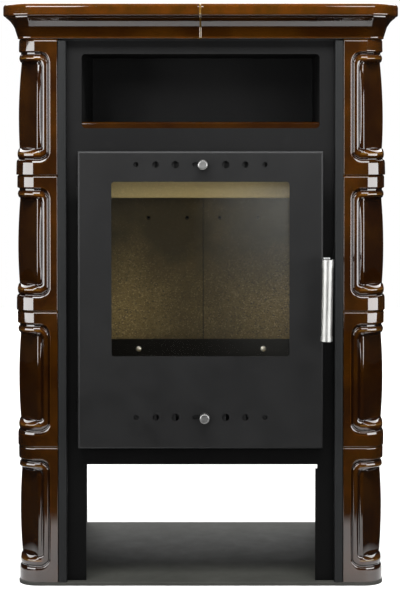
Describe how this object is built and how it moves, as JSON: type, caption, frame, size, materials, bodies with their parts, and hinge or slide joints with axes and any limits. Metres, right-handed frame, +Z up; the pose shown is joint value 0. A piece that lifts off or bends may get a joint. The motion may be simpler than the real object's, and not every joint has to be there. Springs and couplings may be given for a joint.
{
  "type": "tiled stove",
  "caption": "Freestanding wood stove clad in glazed relief corner tiles under a glazed crown, with a glazed door, warming compartment and open wood niche.",
  "frame": {"origin": "centre of the base plate's underside, on the floor", "axes": "+X to the right seen from the front, +Y into the depth towards the flue, +Z up"},
  "size_m": [0.585, 0.4908, 0.86],
  "materials": {
    "glaze": "high gloss brown glaze, amber on the edges",
    "black_steel": "matt black stove paint",
    "heat_paint": "matt black heat-resistant paint",
    "stainless": "brushed stainless steel",
    "zinc_steel": "zinc-plated steel",
    "cast_iron": "sand-cast",
    "vermiculite": "pressed vermiculite",
    "glass_fibre": "braided",
    "glass": "clear ceramic glass"
  },
  "bodies": {
    "stove": {"base_plate": "black_steel", "side_frame_left": "black_steel", "side_frame_right": "black_steel", "top_plate": "black_steel", "front_panel": "black_steel", "compartment_liner": "black_steel", "compartment_tile_left": "glaze", "compartment_tile_right": "glaze", "crown_left": "glaze", "crown_right": "glaze", "niche_shelf": "heat_paint", "firebox_rails": "heat_paint", "firebox_body": "heat_paint", "flue_spigot": "heat_paint", "hearth_plate": "cast_iron", "grate": "cast_iron", "floor_bricks": "vermiculite", "ash_pan": "zinc_steel", "brick_side_left": "vermiculite", "brick_side_right": "vermiculite", "brick_back_left": "vermiculite", "brick_back_right": "vermiculite", "baffle": "vermiculite", "ember_guard": "heat_paint", "ember_guard_screws": "stainless", "back_panel": "black_steel", "back_screws": "zinc_steel", "side_mantle_left": "black_steel", "side_mantle_right": "black_steel", "hinge_brackets": "black_steel", "latch_keeper": "zinc_steel", "tile_left_1": "glaze", "tile_left_2": "glaze", "tile_left_3": "glaze", "tile_left_4": "glaze", "tile_right_1": "glaze", "tile_right_2": "glaze", "tile_right_3": "glaze", "tile_right_4": "glaze"},
    "door": {"door_plate": "black_steel", "glass_tape": "glass_fibre", "glass_pane": "glass", "door_inner_frame": "black_steel", "door_rope": "glass_fibre", "door_spacers": "zinc_steel", "air_strip_guides": "zinc_steel", "door_knuckles": "black_steel", "latch_bush": "zinc_steel"},
    "latch": {"latch_shaft": "zinc_steel", "latch_cam": "zinc_steel", "handle_tube": "stainless", "handle_caps": "stainless"},
    "upper_air": {"upper_air_strip": "black_steel", "upper_air_knob": "stainless"},
    "lower_air": {"lower_air_strip": "black_steel", "lower_air_knob": "stainless"}
  },
  "joints": [
    {"name": "door_hinge", "type": "hinge", "parent": "stove", "child": "door", "pos_m": [-0.1786, -0.197, 0.4242], "axis": [0, 0, -1], "range_deg": [0, 110]},
    {"name": "latch_turn", "type": "hinge", "parent": "door", "child": "latch", "pos_m": [0.1856, -0.2, 0.4808], "axis": [0, -1, 0], "range_deg": [0, 90]},
    {"name": "upper_air_slide", "type": "slide", "parent": "door", "child": "upper_air", "axis": [1, 0, 0], "range_m": [-0.0121, 0.0049]},
    {"name": "lower_air_slide", "type": "slide", "parent": "door", "child": "lower_air", "axis": [1, 0, 0], "range_m": [-0.0146, 0.0024]}
  ]
}
